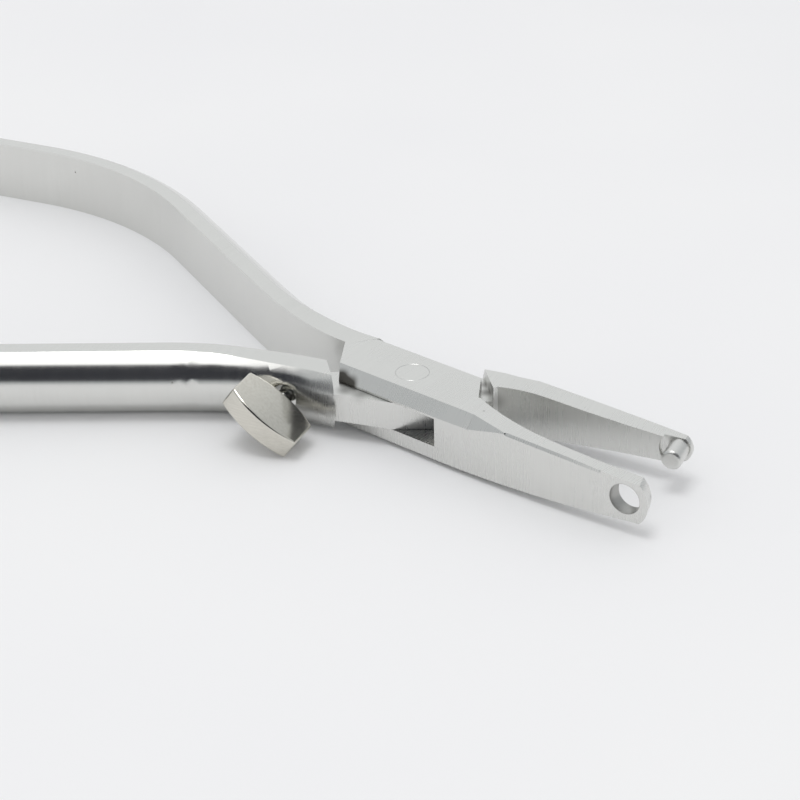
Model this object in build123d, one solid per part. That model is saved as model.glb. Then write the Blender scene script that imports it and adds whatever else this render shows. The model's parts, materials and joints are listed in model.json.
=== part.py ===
from build123d import *
from math import cos, radians, sin, tan
import os

# Hole punch pliers with a slotted box joint and a wing stop screw, in millimetres.
# Each arm is drawn in the closed position, with its jaw on the +Y side of the long
# axis and its handle on the -Y side, and the middle plane of the joint at Z = 0.
# The die arm is the mirrored one. Both arms are then opened, lifted to rest at Z = 0
# and centred along X.

# opening
half_opening = 8.0            # degrees each arm is turned away from the closed position

# box joint
joint_thickness = 7.2         # height of the joint, top plate to bottom plate
slot_height = 3.7             # height of the slot between the two plates
slot_clearance = 0.05         # gap over and under the tongue
joint_half_width = 4.7        # half the width across the plates
shoulder_lean = 34.5          # degrees by which the shoulders lean back from square
jaw_shoulder = 10.3           # where the jaw shoulder crosses the long axis
handle_shoulder = 11.5        # where the handle shoulder crosses the long axis
jaw_shoulder_gap = 0.3        # closed gap from the jaw shoulder to the end of the plates
handle_shoulder_gap = 0.6     # closed gap from the handle shoulder to the end of the plates
tongue_kink = 0.5             # how far past the pivot the tongue edges are cut back
tongue_overlap = 0.2          # length of the tongue that runs on inside the handle
facet_width = 0.85            # sloping strips beside the upper faces, measured across
die_facet_width = 1.3         # the wider one, which runs on along the die jaw
facet_drop = 1.5              # and how far down the sides they reach
facet_end = 12.0              # the strips keep their width up to here
facet_fade = 5.7              # length over which they run out along the jaws
facet_tail = 0.28             # width left where they stop
facet_margin = 0.05           # the cuts of the strips pass their ends by this much

# pivot
pivot_radius = 2.0
pivot_seat_gap = 0.01         # fit of the rivet in the plates
pivot_running_gap = 0.04      # fit of the tongue on the rivet
pivot_chamfer = 0.18          # small groove round each rivet end

# handles
handle_height = 8.4           # height of the grips, the tallest part of the pliers
handle_inner_offset = 1.0     # inner edge of the handle beside the joint, from the long axis
root_width = 3.0              # flat top strip beside the joint
root_bulge = 1.4              # rounding of the outer side beside the joint
grip_width = 2.1              # flat top strip along the grips
grip_bulge = 2.8              # rounding of the outer side along the grips
root_heading = 3.7            # degrees, the way the inner edge leaves the joint
splay_heading = 22.7          # degrees, the straight middle stretch
tuck_heading = 15.3           # degrees, the ends lean back in
root_straight_end = 10.8      # the root keeps its shape up to here, behind the pivot
root_start = 13.5             # where the first bend starts
root_bend_radius = 50.0
root_steps = 4                # stations along the first bend
splay_length = 28.5
tuck_bend_radius = 46.0
tuck_length = 18.5
end_rounding = 0.6

# jaws
jaw_length = 32.8             # pivot to the axis of the punch and its hole
punch_rise = 0.2              # that axis, above the middle plane of the joint
jaw_gap = 0.8                 # closed gap between the jaw tips
jaw_side_start = 8.0          # the outer side is straight up to here
jaw_back_at = 24.0            # a point along the outer side, where its offsets are given
jaw_mid_at = 21.0             # where the two middle heights are measured
die_tip_offset = 1.2          # inner face of the die jaw at its tip, from the long axis
die_bow = 2.3                 # the same face where it bows away the most
die_bow_at = 22.0             # and how far in front of the pivot that is
die_back = 4.1                # outer side of the die jaw, from the long axis
die_tip_thickness = 1.9       # measured across, at the tip
die_tip_height = 4.9
die_mid_height = 6.6
die_tip_corner = 1.0          # the upper and lower edges end here, past the axis of the hole
die_tip_reach = 2.1           # the round tip ends here, both along the inner face
die_tip_slant = 23.0          # degrees by which the tip runs forward towards the outer side
punch_throat = 0.5            # corner taken off where the face leaves the shoulder
punch_crest = 1.4             # inner face of the punch jaw where it turns straight
punch_crest_at = 16.5         # and how far in front of the pivot that is
punch_back = 3.3              # outer side of the punch jaw, from the long axis
punch_tip_thickness = 1.6
punch_tip_height = 2.95
punch_mid_height = 4.7
punch_tip_corner = 0.65       # the same two sizes, past the axis of the punch
punch_tip_reach = 1.5
tip_stock = 2.0               # the bars are cut to their tips from this much more length

# punch and its hole
punch_radius = 1.22
punch_reach = 3.2             # length standing out of its seat
punch_root = 0.8              # length pressed into the jaw
punch_seat_gap = 0.01
punch_chamfer = 0.25
spot_radius = 2.25            # round seat milled into the jaw face
spot_depth = 0.9              # measured from the face at the very tip
die_radius = 1.85

# stop screw
screw_station = 14.5          # distance behind the pivot
screw_radius = 1.0
screw_running_gap = 0.04
screw_tip_past_handle = 1.3   # length standing out on the inner side of the handle
screw_chamfer = 0.25
screw_recess_radius = 1.6
screw_recess_depth = 0.9
wing_gap = 1.2                # from the handle to the boss of the wing head
wing_span = 9.75
wing_thickness = 2.95
wing_depth = 4.4              # at the ends of the wing
wing_crown = 1.0              # the outer edge is arched by this much
wing_boss = 1.1               # the inner edge swells by this much at the screw
wing_roll = 36.0              # degrees the wing is turned from level
wing_bore_depth = 3.2
wing_bore_floor_gap = 0.05
wing_fillet = 0.3

# worked out from the sizes above
half_joint = joint_thickness / 2
half_slot = slot_height / 2
half_tongue = half_slot - slot_clearance
half_grip = handle_height / 2
lean = tan(radians(shoulder_lean))
overrun = 40.0                # cutting shapes pass the metal by this much
punch_tip_offset = jaw_gap - die_tip_offset
screw_inner_face = -handle_inner_offset
facet_tolerance = 0.02        # fineness used to measure the overall length


def prism(points, low, high):
    """Upright prism on a closed outline between two heights."""
    outline = make_face(Polyline(*points, close=True))
    return Pos(0, 0, low) * extrude(outline, amount=high - low)


def across_axis(distance, y):
    """Point of a shoulder line that crosses the long axis at the given distance."""
    return (distance - lean * y, y)


def shoulder_band(jaw_side, handle_side, low, high):
    """Slanted block between the two parallel shoulder lines."""
    reach = 2 * joint_half_width
    return prism(
        [
            across_axis(-handle_side, -reach),
            across_axis(jaw_side, -reach),
            across_axis(jaw_side, reach),
            across_axis(-handle_side, reach),
        ],
        low,
        high,
    )


def grip_section(x, y, heading, width, bulge, half_height):
    """D-shaped cross-section with its flat side on the inner edge of the handle."""
    turn = radians(heading)
    along = (-cos(turn), -sin(turn), 0)
    outward = (sin(turn), -cos(turn), 0)
    top = (width, half_height)
    bottom = (width, -half_height)
    outline = (
        Line((0, -half_height), (0, half_height))
        + Line((0, half_height), top)
        + ThreePointArc(top, (width + bulge, 0), bottom)
        + Line(bottom, (0, -half_height))
    )
    return Plane(origin=(x, y, 0), x_dir=outward, z_dir=along) * make_face(outline)


def bend_point(share):
    """Station on the first bend: x, y and heading at a share of its turn."""
    heading = root_heading + share * (splay_heading - root_heading)
    start = radians(root_heading)
    turn = radians(heading)
    x = -root_start - root_bend_radius * (sin(turn) - sin(start))
    y = -handle_inner_offset - root_bend_radius * (cos(start) - cos(turn))
    return x, y, heading


def handle_root():
    """The handle from the joint to the end of its first bend, blended into the grip."""
    root = (root_width, root_bulge, half_joint)
    sections = [
        grip_section(-joint_half_width, -handle_inner_offset, 0, *root),
        grip_section(-root_straight_end, -handle_inner_offset, 0, *root),
    ]
    for step in range(root_steps + 1):
        share = step / root_steps
        blend = share * share * (3 - 2 * share)
        x, y, heading = bend_point(share)
        width = root_width + blend * (grip_width - root_width)
        bulge = root_bulge + blend * (grip_bulge - root_bulge)
        half_height = half_joint + blend * (half_grip - half_joint)
        sections.append(grip_section(x, y, heading, width, bulge, half_height))
    return loft(sections)


def handle_grip():
    """The long grip: a straight stretch, a bend back in and a straight end."""
    x, y, heading = bend_point(1.0)
    splay = radians(splay_heading)
    start = Vector(x, y)
    splay_end = start + Vector(-cos(splay), -sin(splay)) * splay_length
    turn = radians(splay_heading + tuck_heading)
    chord = 2 * tuck_bend_radius * sin(turn / 2)
    chord_heading = splay - turn / 2
    bend_end = splay_end + Vector(-cos(chord_heading), -sin(chord_heading)) * chord
    half_chord = 2 * tuck_bend_radius * sin(turn / 4)
    middle = splay_end + Vector(-cos(splay - turn / 4), -sin(splay - turn / 4)) * half_chord
    path = Line(start, splay_end) + ThreePointArc(splay_end, middle, bend_end)
    grip = sweep(grip_section(x, y, heading, grip_width, grip_bulge, half_grip), path=path)
    last = grip_section(bend_end.X, bend_end.Y, -tuck_heading, grip_width, grip_bulge, half_grip)
    stretch = extrude(last, amount=tuck_length)
    end_face = stretch.faces().sort_by(Axis.X)[0]
    return grip + fillet(end_face.edges(), end_rounding)


def die_face(tip):
    """Inner face of the die jaw: two shallow bows that meet level where it is furthest out."""
    crest = (die_bow_at, die_bow)
    root = TangentArc(crest, (jaw_shoulder, 0), tangent=(-1, 0))
    return root + TangentArc(crest, tip, tangent=(1, 0))


def punch_face(tip):
    """Inner face of the punch jaw: a short bow at the shoulder, then straight to its tip."""
    crotch = Vector(jaw_shoulder, 0)
    start = Vector(jaw_shoulder + punch_throat * lean, punch_throat)
    crest = Vector(punch_crest_at, punch_crest)
    bow = TangentArc(crest, start, tangent=crest - tip)
    return Line(crotch, start) + bow + Line(crest, tip)


def jaw_plan(face, tip, thickness, back):
    """Jaw bar seen from above, between its inner face and its arched outer side."""
    outer_tip = tip + Vector(0, thickness)
    side_start = (jaw_side_start, joint_half_width)
    side_back = across_axis(jaw_shoulder, joint_half_width)
    stock = Vector(tip_stock, 0)
    plan = (
        face
        + Line(tip, tip + stock)
        + Line(tip + stock, outer_tip + stock)
        + Line(outer_tip + stock, outer_tip)
        + ThreePointArc(outer_tip, (jaw_back_at, back), side_start)
        + Line(side_start, side_back)
        + Line(side_back, (jaw_shoulder, 0))
    )
    return Pos(0, 0, -half_joint) * extrude(make_face(plan), amount=joint_thickness)


def jaw_profile(mid_height, tip_height, corner):
    """Jaw seen from the side, tapering in height from its shoulder to its tip."""
    mid = (jaw_mid_at, mid_height / 2)
    low_mid = (jaw_mid_at, -mid_height / 2)
    root = (jaw_shoulder, half_joint)
    low_root = (jaw_shoulder, -half_joint)
    back = (0, half_joint)
    low_back = (0, -half_joint)
    tip = (jaw_length + corner, tip_height / 2)
    low_tip = (jaw_length + corner, -tip_height / 2)
    end = (overrun, tip_height / 2)
    low_end = (overrun, -tip_height / 2)
    side = (
        ThreePointArc(root, mid, tip)
        + Line(tip, end)
        + Line(end, low_end)
        + Line(low_end, low_tip)
        + ThreePointArc(low_tip, low_mid, low_root)
        + Line(low_root, low_back)
        + Line(low_back, back)
        + Line(back, root)
    )
    return Pos(0, overrun / 2, 0) * extrude(Plane.XZ * make_face(side), amount=overrun)


def round_tip(corner, reach, height, slant, offset):
    """Everything behind the round end of a jaw, whose axis may slant across the jaw."""
    bulge = reach - corner
    radius = ((height / 2) ** 2 + bulge**2) / (2 * bulge)
    front = jaw_length - slant * offset
    disc = Pos(front + reach - radius, 0) * Circle(radius)
    behind = Pos(front + corner - overrun / 2, 0) * Rectangle(overrun, overrun)
    return extrude(Plane.XZ * (disc + behind), amount=overrun, dir=(slant, 1, 0), both=True)


def die_jaw():
    """Jaw that carries the hole."""
    tip = Vector(jaw_length + die_tip_reach, die_tip_offset)
    slant = tan(radians(die_tip_slant))
    bar = jaw_plan(die_face(tip), tip, die_tip_thickness, die_back)
    bar = bar & jaw_profile(die_mid_height, die_tip_height, die_tip_corner)
    return bar & round_tip(die_tip_corner, die_tip_reach, die_tip_height, slant, die_tip_offset)


def punch_jaw():
    """Jaw that carries the punch."""
    tip = Vector(jaw_length + punch_tip_reach, punch_tip_offset)
    bar = jaw_plan(punch_face(tip), tip, punch_tip_thickness, punch_back)
    bar = bar & jaw_profile(punch_mid_height, punch_tip_height, punch_tip_corner)
    return bar & round_tip(punch_tip_corner, punch_tip_reach, punch_tip_height, 0, punch_tip_offset)


def outer_facet(side, width):
    """Wedge that slopes the upper edge of the joint on one side."""
    section = [
        (side * (joint_half_width - width), half_joint),
        (side * (joint_half_width + width), half_joint - 2 * facet_drop),
        (side * (joint_half_width + width), half_joint + facet_drop),
        (side * (joint_half_width - width), half_joint + facet_drop),
    ]
    wedge = Plane.YZ * make_face(Polyline(*section, close=True))
    return Pos(-facet_end, 0, 0) * extrude(wedge, amount=2 * facet_end)


def facet_run_out(width):
    """Slanting cut that ends the sloping strip along the outer side of the jaw."""
    low = Vector(facet_end, joint_half_width, half_joint - facet_drop)
    high = Vector(facet_end, joint_half_width - width, half_joint)
    out = Vector(facet_end + facet_fade, joint_half_width - facet_tail, half_joint)
    normal = (high - out).cross(low - high).normalized()
    if normal.Z < 0:
        normal = normal * -1
    plane = Plane(origin=high, z_dir=normal)
    slab = extrude(plane * Rectangle(overrun, overrun), amount=joint_half_width)
    region = Pos(facet_end + facet_fade / 2 - facet_margin, 0, half_joint)
    return slab & region * Box(facet_fade + 2 * facet_margin, overrun, joint_thickness)


def plates():
    """Both plates of the box, before the slot is cut: one block with slanted ends."""
    jaw_end = jaw_shoulder - jaw_shoulder_gap / cos(radians(shoulder_lean))
    handle_end = handle_shoulder - handle_shoulder_gap / cos(radians(shoulder_lean))
    w = joint_half_width
    outline = [
        (jaw_end - lean * w, -w),
        (jaw_end, 0),
        (jaw_shoulder, 0),
        (jaw_side_start, w),
        (-handle_end + lean * w, w),
        (-handle_end - lean * handle_inner_offset, -handle_inner_offset),
        (-handle_shoulder, -handle_inner_offset),
        (-handle_shoulder + lean * w, -w),
    ]
    return prism(outline, -half_joint, half_joint)


def tongue():
    """Flat tongue in the slot, with two edges cut back to let it swing."""
    w = joint_half_width
    root_edge = handle_inner_offset + root_width + root_bulge
    shoulder_x = -handle_shoulder + lean * root_edge
    outline = [
        (shoulder_x - tongue_overlap, -root_edge),
        (shoulder_x, -root_edge),
        (-tongue_kink, -w),
        (jaw_shoulder, 0),
        (jaw_side_start, w),
        (tongue_kink, w),
        (-handle_shoulder, -handle_inner_offset),
    ]
    return prism(outline, -half_tongue, half_tongue)


def pivot_hole(gap):
    """Round hole for the rivet."""
    return Cylinder(pivot_radius + gap, overrun)


def groove(radius):
    """Small countersink on both faces, which leaves a fine ring round the rivet."""
    cone = Cone(radius, radius + pivot_chamfer, pivot_chamfer)
    upper = Pos(0, 0, half_joint - pivot_chamfer / 2) * cone
    return upper + mirror(upper, about=Plane.XY)


def punch_axis(y):
    """Place on the axis of the punch at a distance from the long axis, facing along it."""
    return Pos(jaw_length, y, punch_rise) * Rot(90, 0, 0)


def die_arm():
    """Arm with the two plates, the slot and the jaw that carries the hole."""
    arm = plates() - outer_facet(-1, facet_width) + die_jaw()
    arm = arm - outer_facet(1, die_facet_width) - facet_run_out(die_facet_width)
    handle = handle_root() - shoulder_band(overrun, handle_shoulder, -overrun, overrun)
    arm = arm + handle + handle_grip()
    arm = arm - shoulder_band(jaw_shoulder, handle_shoulder, -half_slot, half_slot)
    arm = arm - pivot_hole(pivot_seat_gap) - groove(pivot_radius)
    hole = punch_axis(0) * Cylinder(die_radius, overrun)
    return mirror(arm - hole, about=Plane.XZ)


def screw_tools():
    """Threaded hole and round recess for the stop screw."""
    shaft = Cylinder(screw_radius + screw_running_gap, overrun)
    outer_face = handle_inner_offset + root_width + root_bulge
    recess_floor = -outer_face + screw_recess_depth
    recess = Pos(-screw_station, recess_floor - overrun / 2, 0) * Rot(90, 0, 0)
    recess = recess * Cylinder(screw_recess_radius, overrun)
    return Pos(-screw_station, 0, 0) * Rot(90, 0, 0) * shaft + recess


def punch_arm():
    """Arm with the tongue, the threaded hole and the jaw that carries the punch."""
    handle = handle_root() - shoulder_band(overrun, handle_shoulder, -overrun, overrun)
    arm = tongue() + punch_jaw() + handle + handle_grip()
    arm = arm - outer_facet(1, facet_width) - facet_run_out(facet_width)
    arm = arm - pivot_hole(pivot_running_gap)
    seat = punch_tip_offset + spot_depth
    spot = punch_axis(seat - spot_radius) * Cylinder(spot_radius, 2 * spot_radius)
    socket = punch_axis(seat) * Cylinder(punch_radius + punch_seat_gap, 2 * punch_root)
    return arm - spot - socket - screw_tools()


def pivot_pin():
    """Rivet through both plates, flush with them and chamfered at both ends."""
    pin = Cylinder(pivot_radius, joint_thickness)
    return chamfer(pin.edges().filter_by(GeomType.CIRCLE), pivot_chamfer)


def punch_pin():
    """Round punch that stands out of its seat towards the hole."""
    seat = punch_tip_offset + spot_depth
    length = punch_reach + punch_root
    middle = seat + punch_root - length / 2
    pin = punch_axis(middle) * Cylinder(punch_radius, length)
    return chamfer(pin.edges().sort_by(Axis.Y)[0], punch_chamfer)


def wing_boss_face():
    """Distance from the long axis to the inner side of the wing head."""
    return handle_inner_offset + root_width + root_bulge + wing_gap


def screw_shank():
    """Plain stand-in for the threaded shank, from its tip into the wing head."""
    tip = screw_inner_face + screw_tip_past_handle
    end = -(wing_boss_face() + wing_bore_depth - wing_bore_floor_gap)
    shank = Pos(-screw_station, (tip + end) / 2, 0) * Rot(90, 0, 0)
    shank = shank * Cylinder(screw_radius, tip - end)
    return chamfer(shank.edges().sort_by(Axis.Y)[-1], screw_chamfer)


def wing_head():
    """Wing head: an arched bar with a swelling where the shank goes in."""
    half_span = wing_span / 2
    inner = wing_boss
    outer = wing_boss + wing_depth
    outline = (
        ThreePointArc((-half_span, outer), (0, outer + wing_crown), (half_span, outer))
        + Line((half_span, outer), (half_span, inner))
        + ThreePointArc((half_span, inner), (0, 0), (-half_span, inner))
        + Line((-half_span, inner), (-half_span, outer))
    )
    bar = Pos(0, 0, -wing_thickness / 2) * extrude(make_face(outline), amount=wing_thickness)
    bar = fillet(bar.edges(), wing_fillet)
    bore = Rot(90, 0, 0) * Cylinder(screw_radius + screw_running_gap, 2 * wing_bore_depth)
    bar = bar - bore
    return Pos(-screw_station, -wing_boss_face(), 0) * Rot(0, wing_roll, 0) * Rot(180, 0, 0) * bar


def opened(shape, side):
    """Open an arm by its half of the opening and lift it to rest on its handles."""
    return Pos(0, 0, half_grip) * Rot(0, 0, side * half_opening) * shape


def reach_along_x(shape):
    """Lowest and highest X of a shape, read from its faceted surface."""
    corners, _ = shape.tessellate(facet_tolerance)
    xs = [corner.X for corner in corners]
    return min(xs), max(xs)


pieces = {
    "die_arm": opened(die_arm(), -1),
    "punch_arm": opened(punch_arm(), 1),
    "pivot_pin": opened(pivot_pin(), -1),
    "punch_pin": opened(punch_pin(), 1),
    "stop_screw_shank": opened(screw_shank(), 1),
    "stop_screw_wing": opened(wing_head(), 1),
}

die_rear, die_front = reach_along_x(pieces["die_arm"])
punch_rear, punch_front = reach_along_x(pieces["punch_arm"])
rear = min(die_rear, punch_rear)
front = max(die_front, punch_front)
centred = Pos(-(rear + front) / 2, 0, 0)

os.makedirs("parts", exist_ok=True)
for name, shape in pieces.items():
    piece = centred * shape
    export_step(piece, f"parts/{name}.step")
    print(name, "valid", piece.is_valid, "solids", len(piece.solids()), "volume", round(piece.volume, 2))
print("pivot axis at x =", round(centred.position.X, 4))
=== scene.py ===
"""Looks of a pair of hole punch pliers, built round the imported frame."""

import json
import logging
import math
from dataclasses import dataclass
from enum import Enum
from typing import Any, Optional, Sequence, Union

import bmesh
import bpy
from mathutils import Matrix, Vector

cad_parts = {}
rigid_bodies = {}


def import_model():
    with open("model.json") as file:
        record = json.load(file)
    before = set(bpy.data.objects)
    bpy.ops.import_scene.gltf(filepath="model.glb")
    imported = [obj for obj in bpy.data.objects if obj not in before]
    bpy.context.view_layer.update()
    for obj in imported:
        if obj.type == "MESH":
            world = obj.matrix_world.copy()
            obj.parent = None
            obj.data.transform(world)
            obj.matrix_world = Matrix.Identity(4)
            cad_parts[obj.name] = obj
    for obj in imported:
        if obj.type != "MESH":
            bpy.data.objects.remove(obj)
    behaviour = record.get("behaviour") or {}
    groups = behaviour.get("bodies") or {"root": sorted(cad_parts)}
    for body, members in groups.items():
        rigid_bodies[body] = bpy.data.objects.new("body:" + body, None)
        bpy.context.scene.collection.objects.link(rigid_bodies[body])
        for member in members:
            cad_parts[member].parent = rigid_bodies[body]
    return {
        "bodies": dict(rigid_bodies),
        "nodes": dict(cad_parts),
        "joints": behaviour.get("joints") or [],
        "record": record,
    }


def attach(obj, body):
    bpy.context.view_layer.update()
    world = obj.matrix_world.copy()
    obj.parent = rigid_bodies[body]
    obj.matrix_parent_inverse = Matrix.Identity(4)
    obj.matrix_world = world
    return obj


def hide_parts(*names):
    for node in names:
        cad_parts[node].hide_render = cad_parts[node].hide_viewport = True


LOG = logging.getLogger("pliers")
MM = 0.001
PIVOT_X = 0.0332136  # where the rivet stands in the frame
DIE_HOLE = (0.0653561, -0.0069717, 0.0044)
DIE_HOLE_AXIS = Vector((-0.1391731, -0.9902681, 0))
SCREW_HEIGHT = 0.0042  # middle of the handles
HALF_OPENING = 8.0  # degrees each arm is turned away from the closed position
JOINT_TOP, JOINT_BOTTOM = 7.8 * MM, 0.6 * MM
RIVET_RADIUS = 2.0 * MM
COUNTERSINK_HALF = 0.06 * MM  # points further from the rivet's edge than this are its rims
COUNTERSINK_DEPTH = 0.3 * MM
RING_HALF = 0.05 * MM  # half the width of the fine ring round the flush rivet
RING_DEPTH = 0.03 * MM
WELD_DISTANCE = 0.0005 * MM
FLAT_ANGLE = 0.3  # degrees within which neighbouring faces count as one

Number = Union[int, float]
Span = tuple[float, float]
Place = tuple[float, float, float]
Colour = tuple[float, float, float, float]


def srgb(red: Number, green: Number, blue: Number) -> Colour:
    """Turn a display colour of 0 to 255 a channel into a linear one.

    Args:
        red: Red channel.
        green: Green channel.
        blue: Blue channel.

    Returns:
        The linear colour with full alpha.
    """

    def linear(value: Number) -> float:
        """One channel."""
        share = value / 255
        return share / 12.92 if share <= 0.04045 else ((share + 0.055) / 1.055) ** 2.4

    return linear(red), linear(green), linear(blue), 1.0


def heading(azimuth: Number, elevation: Number) -> Vector:
    """Unit vector of a compass direction.

    Args:
        azimuth: Degrees from +X towards +Y.
        elevation: Degrees above the table.

    Returns:
        The direction.
    """
    turn, rise = math.radians(azimuth), math.radians(elevation)
    level = math.cos(rise)
    return Vector((math.cos(turn) * level, math.sin(turn) * level, math.sin(rise)))


class Wire:
    """One output socket, with arithmetic that adds Math nodes."""

    def __init__(self, bench: "Bench", socket: bpy.types.NodeSocket) -> None:
        """Keep the socket and the bench that can add nodes beside it."""
        self.bench = bench
        self.socket = socket

    def _math(self, operation: str, *values: Union["Wire", Number]) -> "Wire":
        """Add a Math node on the given values."""
        inputs = dict(enumerate(values))
        return self.bench.add("ShaderNodeMath", {"operation": operation}, inputs)

    def __add__(self, other: Union["Wire", Number]) -> "Wire":
        """Sum."""
        return self._math("ADD", self, other)

    __radd__ = __add__

    def __sub__(self, other: Union["Wire", Number]) -> "Wire":
        """Difference."""
        return self._math("SUBTRACT", self, other)

    def __rsub__(self, other: Number) -> "Wire":
        """Difference taken from a plain number."""
        return self._math("SUBTRACT", other, self)

    def __mul__(self, other: Union["Wire", Number]) -> "Wire":
        """Product."""
        return self._math("MULTIPLY", self, other)

    __rmul__ = __mul__

    def clamp(self, low: Number, high: Number) -> "Wire":
        """Hold the value between two numbers."""
        return self._math("MINIMUM", self._math("MAXIMUM", self, low), high)

    def ease(self, low: Number, high: Number) -> "Wire":
        """Soft step from 0 at one value to 1 at the other."""
        settings = {"interpolation_type": "SMOOTHSTEP"}
        inputs = {"Value": self, "From Min": low, "From Max": high}
        return self.bench.add("ShaderNodeMapRange", settings, inputs)


class Bench:
    """Adds nodes to one node tree."""

    def __init__(self, tree: bpy.types.NodeTree) -> None:
        """Empty the tree and keep it."""
        tree.nodes.clear()
        self.tree = tree

    def node(
        self,
        kind: str,
        settings: dict[str, Any],
        inputs: dict[Any, Any],
    ) -> bpy.types.Node:
        """Add one node.

        Args:
            kind: The node's type name.
            settings: Its own settings, set before its sockets; a key "stops" fills a ramp.
            inputs: Socket name or number to a value or a Wire.

        Returns:
            The node.
        """
        made = self.tree.nodes.new(kind)
        for name, value in settings.items():
            if name == "stops":
                self._fill_ramp(made.color_ramp, value)
            else:
                setattr(made, name, value)
        for name, value in inputs.items():
            socket = made.inputs[name]
            if isinstance(value, Wire):
                self.tree.links.new(value.socket, socket)
            else:
                socket.default_value = value
        return made

    def add(
        self,
        kind: str,
        settings: dict[str, Any],
        inputs: dict[Any, Any],
        output: Union[int, str] = 0,
    ) -> Wire:
        """Add one node and give one of its outputs as a Wire."""
        return Wire(self, self.node(kind, settings, inputs).outputs[output])

    def mix(
        self,
        share: Union[Wire, Number],
        low: Union[Wire, Colour],
        high: Union[Wire, Colour],
    ) -> Wire:
        """Blend two colours by a share of 0 to 1."""
        return self.add("ShaderNodeMix", {"data_type": "RGBA"}, {0: share, 6: low, 7: high}, 2)

    def vector(self, operation: str, *values: Any, output: Union[int, str] = 0) -> Wire:
        """Add a Vector Math node on the given values."""
        inputs = dict(enumerate(values))
        return self.add("ShaderNodeVectorMath", {"operation": operation}, inputs, output)

    def noise(
        self,
        place: Wire,
        scale: Number,
        detail: Number = 2.0,
        roughness: Number = 0.5,
    ) -> Wire:
        """Grey noise of 0 to 1."""
        values = {"Vector": place, "Scale": scale, "Detail": detail, "Roughness": roughness}
        return self.add("ShaderNodeTexNoise", {}, values)

    def facing(self, place: Wire, direction: Vector) -> Wire:
        """Dot product with a fixed direction."""
        return self.vector("DOT_PRODUCT", place, direction, output="Value")

    @staticmethod
    def _fill_ramp(ramp: bpy.types.ColorRamp, stops: Sequence[tuple[float, Colour]]) -> None:
        """Give a colour ramp its stops, in rising order."""
        while len(ramp.elements) < len(stops):
            ramp.elements.new(1.0)
        for element, (place, colour) in zip(ramp.elements, stops):
            element.position = place
            element.color = colour


class Grind(Enum):
    """Which way the fine lines of a finish run: the stretch of the pattern along each axis."""

    ACROSS = (1.0, 0.03, 0.03)
    ALONG = (0.03, 1.0, 1.0)
    EVEN = (1.0, 1.0, 1.0)


@dataclass(frozen=True)
class PaintedShadeSpot:
    """A soft spot of painted shade that darkens the steel's colour and roughens it a little."""

    centre: Place
    radius: float
    strength: float


@dataclass(frozen=True)
class Crown:
    """A faint lengthwise rounding of faces that were ground by hand."""

    centre: Place
    axis: Vector
    radius: float


@dataclass(frozen=True)
class ShadedBore:
    """A round hole whose wall gets painted shade: its colour is darker and its finish rougher
    than the ground faces round it.
    """

    centre: Place
    axis: Vector
    radius: float
    strength: float


Pattern = Union[Wire, Number]


def weigh(patterns: dict[str, Pattern], shares: dict[str, float]) -> Pattern:
    """Sum patterns by their shares.

    Args:
        patterns: Every pattern of a finish by name, each from 0 to 1.
        shares: The names to sum, each with how much it counts.

    Returns:
        The sum.
    """
    return sum(patterns[name] * share for name, share in shares.items())


CLOUD_SCALE = 150.0
COARSE_PART = 5  # how many fine lines go into one coarse line
COLOUR_SHARES = {"cloud": 0.3, "coarse": 0.1, "lines": 0.6}
COLOUR_SPAN = (0.35, 0.65)
# dark colour of the pits, and of the painted shade in spots and bores
PIT_AND_PAINTED_SHADE_COLOUR = srgb(92, 90, 86)
SPECK_DULLNESS = 0.5
ROUGH_SHARES = {"lines": 0.1, "cloud": 0.08, "scratches": 0.04, "specks": 0.2, "painted_shade": 0.2}
ROUGH_MIDDLE = 0.09  # half of what the lines and the clouds add at most
ROUGH_LIMITS = (0.06, 0.7)
RELIEF_SHARES = {"lines": 0.8, "coarse": 0.2, "scratches": -0.15, "specks": -0.3}
RELIEF_STRENGTH = 0.7
JAW_SPAN = (PIVOT_X - 14 * MM, PIVOT_X - 8 * MM)  # where the handles' finish turns into the jaws'
JAW_RELIEF_LOSS = 0.85
SPECK_SCALE = 420.0
SPECK_SIZE = (0.03, 0.1)
SPECK_CHOICE = (0.8, 0.86)
SCRATCH_COURSE = {"Rotation": (0.4, 0.3, 0.6), "Scale": (0.05, 1.0, 1.0)}
SCRATCH_CHOICE = (0.72, 0.76)
SCRATCH_PATCH_SCALE = 130.0
SCRATCH_PATCH_SPAN = (0.5, 0.6)
BORE_EDGE = 0.04 * MM


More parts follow.
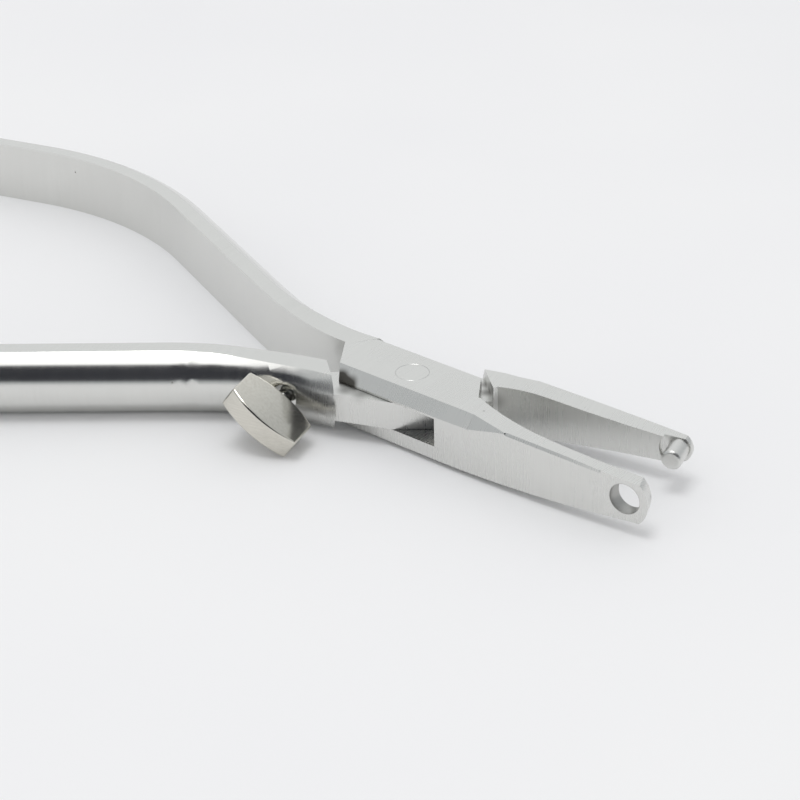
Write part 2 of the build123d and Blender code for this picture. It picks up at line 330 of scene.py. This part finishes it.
@dataclass(frozen=True)
class GroundSteel:
    """Satin steel with fine grinding lines, faint clouds, specks and scratches, and spots of
    painted shade where given.
    """

    name: str
    slot: str
    grind: Grind = Grind.ACROSS
    turn: float = 0.0
    tint: Colour = srgb(222, 222, 219)
    shade: Colour = srgb(217, 217, 214)
    roughness: float = 0.18
    jaw_roughness: float = 0.28
    line_scale: float = 5200.0
    line_depth: float = 0.009 * MM
    scratch_scale: float = 5200.0
    crown: Optional[Crown] = None
    painted_shade_spots: tuple[PaintedShadeSpot, ...] = ()
    shaded_bores: tuple[ShadedBore, ...] = ()

    def make(self) -> bpy.types.Material:
        """Build the material.

        Returns:
            The finished material.
        """
        material = bpy.data.materials.new(self.name)
        material.use_nodes = True
        bench = Bench(material.node_tree)
        place = bench.add("ShaderNodeTexCoord", {}, {}, "Object")
        spin = {"Vector": place, "Rotation": (0, 0, math.radians(self.turn))}
        turned = bench.add("ShaderNodeMapping", {}, spin)
        narrow = bench.add("ShaderNodeMapping", {}, {"Vector": turned, "Scale": self.grind.value})
        # painted shade of the spots and the bores; it darkens the colour and roughens the finish
        painted_shade = self._painted_shade(bench, place)
        specks = self._specks(bench, place)
        patterns = {
            "lines": bench.noise(narrow, self.line_scale, 3.0, 0.65),
            "coarse": bench.noise(narrow, self.line_scale / COARSE_PART),
            "cloud": bench.noise(turned, CLOUD_SCALE, 3.0),
            "specks": specks,
            "scratches": self._scratches(bench, turned),
            "painted_shade": painted_shade,
        }
        stops = list(zip(COLOUR_SPAN, (self.shade, self.tint)))
        blend = {"Fac": weigh(patterns, COLOUR_SHARES)}
        steel = bench.add("ShaderNodeValToRGB", {"stops": stops}, blend)
        # the pits and the painted shade darken the colour
        pits_and_painted_shade = (specks * SPECK_DULLNESS + painted_shade).clamp(0, 1)
        along = bench.facing(place, Vector((1, 0, 0))).ease(*JAW_SPAN)
        base = along * (self.jaw_roughness - self.roughness) + self.roughness
        rough = weigh(patterns, ROUGH_SHARES) - ROUGH_MIDDLE + base
        relief = weigh(patterns, RELIEF_SHARES) * (1 - along * JAW_RELIEF_LOSS)
        bump = {"Strength": RELIEF_STRENGTH, "Distance": self.line_depth, "Height": relief}
        if self.crown:
            bump["Normal"] = self._crowned(bench, place, self.crown)
        inputs = {
            "Base Color": bench.mix(pits_and_painted_shade, steel, PIT_AND_PAINTED_SHADE_COLOUR),
            "Metallic": 1.0,
            "Roughness": rough.clamp(*ROUGH_LIMITS),
            "Normal": bench.add("ShaderNodeBump", {}, bump),
        }
        surface = bench.add("ShaderNodeBsdfPrincipled", {}, inputs)
        bench.node("ShaderNodeOutputMaterial", {}, {"Surface": surface})
        return material

    @staticmethod
    def _crowned(bench: Bench, place: Wire, crown: Crown) -> Wire:
        """Tilt the normal as on a face rounded to the crown's radius."""
        beside = bench.vector("SUBTRACT", place, crown.centre)
        reach = bench.facing(beside, crown.axis) * 1000  # in millimetres
        inputs = {
            "Strength": 1.0,
            "Distance": MM * MM / crown.radius,
            "Height": reach * reach * -0.5,
        }
        return bench.add("ShaderNodeBump", {}, inputs)

    @staticmethod
    def _specks(bench: Bench, place: Wire) -> Wire:
        """Tiny pits, few and far apart."""
        values = {"Vector": place, "Scale": SPECK_SCALE}
        cells = bench.node("ShaderNodeTexVoronoi", {}, values)
        near = 1 - Wire(bench, cells.outputs["Distance"]).ease(*SPECK_SIZE)
        chance = bench.facing(Wire(bench, cells.outputs["Color"]), Vector((1, 0, 0)))
        return near * chance.ease(*SPECK_CHOICE)

    def _scratches(self, bench: Bench, place: Wire) -> Wire:
        """A few short thin scratches that cross the grinding lines."""
        course = bench.add("ShaderNodeMapping", {}, {"Vector": place, **SCRATCH_COURSE})
        streaks = bench.noise(course, self.scratch_scale).ease(*SCRATCH_CHOICE)
        return streaks * bench.noise(place, SCRATCH_PATCH_SCALE).ease(*SCRATCH_PATCH_SPAN)

    def _painted_shade(self, bench: Bench, place: Wire) -> Pattern:
        """How much painted shade the spots and the bores put on."""
        total: Pattern = 0.0
        for shade_spot in self.painted_shade_spots:
            away = bench.vector("DISTANCE", place, shade_spot.centre, output="Value")
            total = total + (1 - away.ease(0.0, shade_spot.radius)) * shade_spot.strength
        for bore in self.shaded_bores:
            beside = bench.vector("SUBTRACT", place, bore.centre)
            around = bench.vector("CROSS_PRODUCT", beside, bore.axis)
            away = bench.vector("LENGTH", around, output="Value")
            inside = 1 - away.ease(bore.radius, bore.radius + BORE_EDGE)
            total = total + inside * bore.strength
        return total


@dataclass(frozen=True)
class EdgeBreak:
    """How far the sharp edges of a steel piece are taken off."""

    width: float = 0.07 * MM
    segments: int = 2
    sharper_than: float = 24.0

    def apply(self, shape: bmesh.types.BMesh) -> None:
        """Round the sharp edges of a closed shape.

        Args:
            shape: The shape, with its doubles merged.
        """
        limit = math.radians(self.sharper_than)
        sharp = [
            edge
            for edge in shape.edges
            if len(edge.link_faces) == 2 and edge.calc_face_angle(0) > limit
        ]
        self.cut(shape, sharp, self.width, self.segments)

    @staticmethod
    def cut(
        shape: bmesh.types.BMesh,
        edges: Sequence[bmesh.types.BMEdge],
        width: float,
        segments: int,
    ) -> list[bmesh.types.BMFace]:
        """Bevel the given edges.

        Args:
            shape: The shape that holds them.
            edges: The edges.
            width: How far the bevel reaches into each face.
            segments: Number of strips.

        Returns:
            The new faces.
        """
        made = bmesh.ops.bevel(
            shape,
            geom=list(edges),
            offset=width,
            offset_type="OFFSET",
            affect="EDGES",
            segments=segments,
            profile=0.5,
            clamp_overlap=True,
            material=-1,
        )
        return made["faces"]


def close_ring(shape: bmesh.types.BMesh) -> None:
    """Narrow the countersink round the rivet to the fine ring that flush grinding leaves.

    Args:
        shape: The merged copy of the arm or of the rivet.
    """
    pivot = Vector((PIVOT_X, 0))
    for vert in shape.verts:
        reach = (vert.co.xy - pivot).length
        if not 0.5 * RIVET_RADIUS <= reach <= 1.5 * RIVET_RADIUS:
            continue
        outward = reach - RIVET_RADIUS
        side = (outward > COUNTERSINK_HALF) - (outward < -COUNTERSINK_HALF)
        for level, inward in ((JOINT_TOP, -1), (JOINT_BOTTOM, 1)):
            depth = (vert.co.z - level) * inward
            if not -0.01 * MM < depth < COUNTERSINK_DEPTH:
                continue
            wanted = RIVET_RADIUS + side * RING_HALF if side else reach
            vert.co.xy = pivot + (vert.co.xy - pivot) * (wanted / reach)
            vert.co.z = level + inward * (0 if side else RING_DEPTH)


@dataclass
class SteelPiece:
    """A steel piece that keeps the shape of its CAD node, with its edges broken."""

    node: str
    name: str
    body: str
    finish: GroundSteel
    edges: EdgeBreak = EdgeBreak()
    smooth_below: float = 32.0

    def build(self, frame: dict[str, Any]) -> bpy.types.Object:
        """Make the piece in place of its node.


        Returns:
            The piece's object.
        """
        shape = bmesh.new()
        shape.from_mesh(frame["nodes"][self.node].data)
        bmesh.ops.remove_doubles(shape, verts=shape.verts, dist=WELD_DISTANCE)
        bmesh.ops.dissolve_limit(
            shape,
            angle_limit=math.radians(FLAT_ANGLE),
            verts=shape.verts,
            edges=shape.edges,
        )
        self.shape_first(shape)
        self.edges.apply(shape)
        many_sided = [face for face in shape.faces if len(face.verts) > 4]
        bmesh.ops.triangulate(shape, faces=many_sided)
        open_edges = sum(1 for edge in shape.edges if not edge.is_manifold)
        LOG.info("%s: %d faces, %d open edges", self.name, len(shape.faces), open_edges)
        return self.place(shape)

    def shape_first(self, shape: bmesh.types.BMesh) -> None:
        """Work on the merged copy before its edges are broken; plain pieces need nothing."""

    def place(self, shape: bmesh.types.BMesh) -> bpy.types.Object:
        """Turn a finished shape into the piece that stands for the node.

        Args:
            shape: The finished shape, which is used up.

        Returns:
            The piece's object.
        """
        mesh = bpy.data.meshes.new(self.name)
        for face in shape.faces:
            face.smooth = True
        shape.to_mesh(mesh)
        shape.free()
        mesh.set_sharp_from_angle(angle=math.radians(self.smooth_below))
        piece = bpy.data.objects.new(self.name, mesh)
        bpy.context.scene.collection.objects.link(piece)
        weighted = piece.modifiers.new("weighted_normals", "WEIGHTED_NORMAL")
        weighted.keep_sharp = True
        weighted.weight = 100
        mesh.materials.append(self.finish.make())
        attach(piece, self.body)
        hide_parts(self.node)
        return piece


@dataclass
class Rivet(SteelPiece):
    """The rivet, ground flush with both plates."""

    def shape_first(self, shape: bmesh.types.BMesh) -> None:
        """Narrow its half of the ring.

        Args:
            shape: The merged copy of the rivet.
        """
        close_ring(shape)


@dataclass
class DieArm(SteelPiece):
    """The arm with the hole, whose jaw has a narrow sloping strip along its upper outer edge."""

    strip_width: float = 0.22 * MM
    strip_drop: float = 0.1 * MM
    strip_start: float = 17.4 * MM  # from the pivot, along the arm
    strip_end: float = 31.5 * MM
    level_above: float = 0.97
    upright_below: float = 0.1
    outward_below: float = -0.6

    def shape_first(self, shape: bmesh.types.BMesh) -> None:
        """Cut the sloping strip and narrow this arm's half of the ring.

        Args:
            shape: The merged copy of the arm.
        """
        chosen = [edge for edge in shape.edges if self._on_strip(edge)]
        LOG.info("%s: %d edges along the strip", self.name, len(chosen))
        made = EdgeBreak.cut(shape, chosen, self.strip_width, 1)
        lowest = set()
        for face in made:
            rising = sorted(face.verts, key=lambda vert: vert.co.z)
            lowest.update(rising[:2] if len(rising) == 4 else rising[:1])
        bmesh.ops.translate(shape, vec=(0, 0, -self.strip_drop), verts=list(lowest))
        close_ring(shape)

    def _on_strip(self, edge: bmesh.types.BMEdge) -> bool:
        """Tell whether the edge lies between the jaw's level top and its outer side."""
        if len(edge.link_faces) != 2:
            return False
        turn = Matrix.Rotation(math.radians(HALF_OPENING), 3, "Z")
        middle = (edge.verts[0].co + edge.verts[1].co) / 2
        along = (turn @ (middle - Vector((PIVOT_X, 0, 0)))).x
        side, top = sorted((face.normal for face in edge.link_faces), key=lambda way: way.z)
        outer = turn @ side
        upright = abs(outer.z) < self.upright_below and outer.y < self.outward_below
        return self.strip_start < along < self.strip_end and top.z > self.level_above and upright


@dataclass
class ThreadedShank(SteelPiece):
    """Stop screw shank: a thread through the handle and a smooth neck up to the wing."""

    station: float = 14.5 * MM
    radius: float = 1.0 * MM
    root: float = 0.86 * MM
    pitch: float = 0.4 * MM
    steps: int = 24
    tip: float = 0.3 * MM
    neck: float = -5.0 * MM
    end: float = -9.75 * MM
    chamfer: float = 0.2 * MM
    crest_drop: float = 0.02 * MM
    root_sink: float = 0.06 * MM
    run_out: float = 0.1  # shares of the pitch, here and below
    crest: Span = (0.45, 0.55)

    def build(self, frame: dict[str, Any]) -> bpy.types.Object:
        """Spin the shank's outline and wind its thread.


        Returns:
            The piece's object.
        """
        shape = bmesh.new()
        self._core(shape)
        self._thread(shape)
        turn = Matrix.Rotation(math.radians(HALF_OPENING), 4, "Z")
        pivot = Matrix.Translation((PIVOT_X, 0, SCREW_HEIGHT))
        stand = pivot @ turn @ Matrix.Translation((-self.station, 0, 0))
        bmesh.ops.transform(shape, matrix=stand, verts=shape.verts)
        bmesh.ops.remove_doubles(shape, verts=shape.verts, dist=WELD_DISTANCE)
        bmesh.ops.recalc_face_normals(shape, faces=shape.faces)
        LOG.info("%s: %d faces", self.name, len(shape.faces))
        return self.place(shape)

    def _outline(self, shape: bmesh.types.BMesh, points: Sequence[Span]) -> list[Any]:
        """Draw an open line of (distance along, radius) points beside the axis."""
        verts = [shape.verts.new((reach, along, 0)) for along, reach in points]
        return verts + [shape.edges.new(pair) for pair in zip(verts, verts[1:])]

    def _core(self, shape: bmesh.types.BMesh) -> None:
        """Solid of revolution for the thread's root and the smooth neck."""
        outline = self._outline(shape, [
            (self.tip, 0),
            (self.tip, self.root - self.chamfer),
            (self.tip - self.chamfer, self.root),
            (self.neck + self.chamfer, self.root),
            (self.neck, self.radius),
            (self.end, self.radius),
            (self.end, 0),
        ])
        bmesh.ops.spin(
            shape,
            geom=outline,
            cent=(0, 0, 0),
            axis=(0, 1, 0),
            dvec=(0, 0, 0),
            angle=math.tau,
            steps=self.steps,
            use_merge=True,
            use_duplicate=False,
        )

    def _thread(self, shape: bmesh.types.BMesh) -> None:
        """Wind the ridge of the thread round the root."""
        turns = int((self.tip - self.chamfer - self.neck - self.pitch) / self.pitch)
        start = self.neck + self.run_out * self.pitch
        inside = self.root - self.root_sink
        outside = self.radius - self.crest_drop
        ridge = self._outline(shape, [
            (start, inside),
            (start + self.crest[0] * self.pitch, outside),
            (start + self.crest[1] * self.pitch, outside),
            (start + self.pitch, inside),
        ])
        bmesh.ops.spin(
            shape,
            geom=ridge,
            cent=(0, 0, 0),
            axis=(0, 1, 0),
            dvec=(0, self.pitch / self.steps, 0),
            angle=math.tau * turns,
            steps=self.steps * turns,
            use_merge=False,
            use_duplicate=False,
        )


@dataclass(frozen=True)
class Room:
    """What the steel mirrors: pale walls, a bright panel above and a darker stretch in front."""

    back: Vector = heading(124, 30)
    back_tone: Colour = (0.86, 0.875, 0.885, 1.0)
    side_tone: Colour = (0.56, 0.58, 0.595, 1.0)
    dark_tone: Colour = (0.035, 0.037, 0.045, 1.0)
    panel: Vector = heading(-88, 61)
    panel_tone: Colour = (1.45, 1.45, 1.45, 1.0)
    slope: Vector = Vector((0.719, -0.560, -0.411))
    front: Vector = heading(-85, 0)
    plain: Colour = (0.79, 0.785, 0.785, 1.0)
    seen: Colour = srgb(238, 241, 243)
    up: Vector = Vector((0, 0, 1))
    back_span: Span = (0.55, 1.0)
    panel_span: Span = (0.89, 0.92)
    slope_span: Span = (-0.02, 0.05)
    height_span: Span = (0.06, 0.2)
    front_span: Span = (0.05, 0.4)

    def build(self) -> None:
        """Set the world."""
        world = bpy.data.worlds.new("room")
        bpy.context.scene.world = world
        world.use_nodes = True
        bench = Bench(world.node_tree)
        path = bench.node("ShaderNodeLightPath", {}, {})
        place = bench.add("ShaderNodeTexCoord", {}, {}, "Generated")
        behind = bench.facing(place, self.back).ease(*self.back_span)
        walls = bench.mix(behind, self.side_tone, self.back_tone)
        above = bench.facing(place, self.panel).ease(*self.panel_span)
        lit = bench.mix(above, walls, self.panel_tone)
        under_slope = bench.facing(place, self.slope).ease(*self.slope_span)
        over_table = bench.facing(place, self.up).ease(*self.height_span)
        dark = under_slope * over_table
        dark = dark * bench.facing(place, self.front).ease(*self.front_span)
        mirrored = bench.mix(dark, lit, self.dark_tone)
        rays = bench.mix(Wire(bench, path.outputs["Is Glossy Ray"]), self.plain, mirrored)
        final = bench.mix(Wire(bench, path.outputs["Is Camera Ray"]), rays, self.seen)
        surface = bench.add("ShaderNodeBackground", {}, {"Color": final, "Strength": 1.0})
        bench.node("ShaderNodeOutputWorld", {}, {"Surface": surface})


@dataclass(frozen=True)
class Studio:
    """Floor and soft lamp."""

    floor_half: float = 1.6
    floor_colour: Colour = srgb(240, 241, 242)
    floor_shade: Colour = srgb(237, 238, 240)
    floor_cloud: float = 14.0
    floor_span: Span = (0.3, 0.7)
    floor_roughness: float = 0.75
    floor_shine: float = 0.2
    lamp_place: Place = (-0.03, -0.1, 1.0)
    lamp_size: float = 0.42
    lamp_power: float = 2.4

    def floor(self) -> bpy.types.Object:
        """Lay a wide pale sheet under the object.

        Returns:
            The sheet.
        """
        mesh = bpy.data.meshes.new("floor")
        made = bmesh.new()
        bmesh.ops.create_grid(made, x_segments=2, y_segments=2, size=self.floor_half)
        made.to_mesh(mesh)
        made.free()
        sheet = bpy.data.objects.new("floor", mesh)
        bpy.context.scene.collection.objects.link(sheet)
        material = bpy.data.materials.new("pale_table")
        material.use_nodes = True
        bench = Bench(material.node_tree)
        place = bench.add("ShaderNodeTexCoord", {}, {}, "Object")
        cloud = bench.noise(place, self.floor_cloud)
        stops = list(zip(self.floor_span, (self.floor_shade, self.floor_colour)))
        inputs = {
            "Base Color": bench.add("ShaderNodeValToRGB", {"stops": stops}, {"Fac": cloud}),
            "Roughness": self.floor_roughness,
            "Specular IOR Level": self.floor_shine,
        }
        surface = bench.add("ShaderNodeBsdfPrincipled", {}, inputs)
        bench.node("ShaderNodeOutputMaterial", {}, {"Surface": surface})
        mesh.materials.append(material)
        return sheet

    def lamp(self) -> None:
        """Hang one square soft lamp above."""
        light = bpy.data.lights.new("soft_lamp", "AREA")
        light.shape = "SQUARE"
        light.size = self.lamp_size
        light.energy = self.lamp_power
        hung = bpy.data.objects.new("soft_lamp", light)
        hung.rotation_euler = (-Vector(self.lamp_place)).to_track_quat("-Z", "Y").to_euler()
        hung.location = self.lamp_place
        bpy.context.scene.collection.objects.link(hung)


@dataclass(frozen=True)
class View:
    """The photograph's viewing angle: angles in radians, the rest in pixels and millimetres."""

    turn: float = 0.5881402131917415
    rise: float = 0.4865661406852508
    roll: float = -0.033736811459763615
    focal: float = 2202.8507326152603
    centre: Span = (365.4360585022595, 344.65780304274017)
    place: Place = (122.409473, -193.383374, 132.740439)  # from the pivot, on the table
    frame: float = 800.0
    sensor: float = 36.0
    clip: float = 0.01  # metres

    def build(self) -> None:
        """Set the camera at the photograph's viewing angle."""
        place = Vector(self.place) * MM + Vector((PIVOT_X, 0, 0))
        level = math.cos(self.rise)
        ahead = Vector((
            -math.sin(self.turn) * level,
            math.cos(self.turn) * level,
            -math.sin(self.rise),
        ))
        right = Vector((math.cos(self.turn), math.sin(self.turn), 0))
        up = right.cross(ahead)
        rolled_right = math.cos(self.roll) * right + math.sin(self.roll) * up
        rolled_up = -math.sin(self.roll) * right + math.cos(self.roll) * up
        data = bpy.data.cameras.new("camera")
        data.sensor_width = self.sensor
        data.lens = self.focal / self.frame * self.sensor
        data.shift_x = (self.frame / 2 - self.centre[0]) / self.frame
        data.shift_y = (self.centre[1] - self.frame / 2) / self.frame
        data.clip_start = self.clip
        stand = bpy.data.objects.new("camera", data)
        columns = Matrix((rolled_right, rolled_up, -ahead)).transposed()
        stand.matrix_world = Matrix.Translation(place) @ columns.to_4x4()
        bpy.context.scene.collection.objects.link(stand)
        bpy.context.scene.camera = stand


def pieces() -> list[SteelPiece]:
    """List every piece with its finish.

    Returns:
        The pieces, in the order in which they are built.
    """
    die_side = GroundSteel(
        "ground_steel_die_side",
        "satin_steel",
        turn=HALF_OPENING,
        # painted dark reflection at the left end of the joint's facet, and painted shade inside
        # the die hole
        painted_shade_spots=(
            PaintedShadeSpot((0.0253, -0.0036, 0.0064), 1.75 * MM, 2.0),
            PaintedShadeSpot((0.0269, -0.00368, 0.00645), 1.3 * MM, 1.1),
            PaintedShadeSpot((0.0272, -0.0042, 0.0058), 1.3 * MM, 0.7),
        ),
        shaded_bores=(ShadedBore(DIE_HOLE, DIE_HOLE_AXIS, 1.87 * MM, 0.45),),
    )
    punch_side = GroundSteel(
        "ground_steel_punch_side",
        "satin_steel",
        turn=-HALF_OPENING,
        # painted shade in the corners beside the shoulders and at the far jaw's root
        painted_shade_spots=(
            PaintedShadeSpot((0.0268, -0.0050, 0.0062), 1.6 * MM, 0.5),
            PaintedShadeSpot((0.0290, -0.0048, 0.0062), 1.6 * MM, 0.5),
            PaintedShadeSpot((0.0417, 0.0029, 0.0060), 1.3 * MM, 0.6),
            PaintedShadeSpot((0.0405, 0.0044, 0.0060), 1.2 * MM, 0.5),
            PaintedShadeSpot((0.0437, 0.0018, 0.0058), 1.6 * MM, 0.4),
        ),
    )
    rivet = GroundSteel(
        "rivet_steel",
        "rivet_steel",
        turn=HALF_OPENING,
        line_depth=0.003 * MM,
    )
    punch = GroundSteel(
        "hard_steel",
        "hard_steel",
        Grind.EVEN,
        jaw_roughness=0.36,
        line_depth=0.001 * MM,
    )
    screw = GroundSteel(
        "screw_steel",
        "screw_steel",
        Grind.EVEN,
        roughness=0.14,
        line_depth=0.001 * MM,
    )
    wing = GroundSteel(
        "wing_steel",
        "screw_steel",
        Grind.ALONG,
        tint=srgb(222, 219, 210),
        shade=srgb(206, 203, 194),
        roughness=0.15,
        jaw_roughness=0.15,
        line_depth=0.003 * MM,
        crown=Crown((0.0190, -0.0110, 0.0042), Vector((0.801, 0.113, -0.588)), 20 * MM),
    )
    return [
        DieArm("die_arm", "die_arm_ground", "die_side", die_side),
        SteelPiece("punch_arm", "punch_arm_ground", "punch_side", punch_side),
        Rivet("pivot_pin", "rivet_flush", "die_side", rivet, EdgeBreak(0.01 * MM, 1, 50.0)),
        SteelPiece("punch_pin", "punch_tool", "punch_side", punch),
        ThreadedShank("stop_screw_shank", "screw_shank", "stop_shank", screw),
        SteelPiece("stop_screw_wing", "wing_head", "stop_wing", wing),
    ]


def main() -> None:
    """Build everything in order."""
    logging.basicConfig(level=logging.INFO, format="%(message)s")
    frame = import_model()
    bpy.context.scene.view_settings.view_transform = "Standard"
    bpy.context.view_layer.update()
    studio = Studio()
    studio.floor()
    studio.lamp()
    View().build()
    Room().build()
    for piece in pieces():
        piece.build(frame)
        LOG.info("built %s", piece.name)


if __name__ == "__main__":
    main()
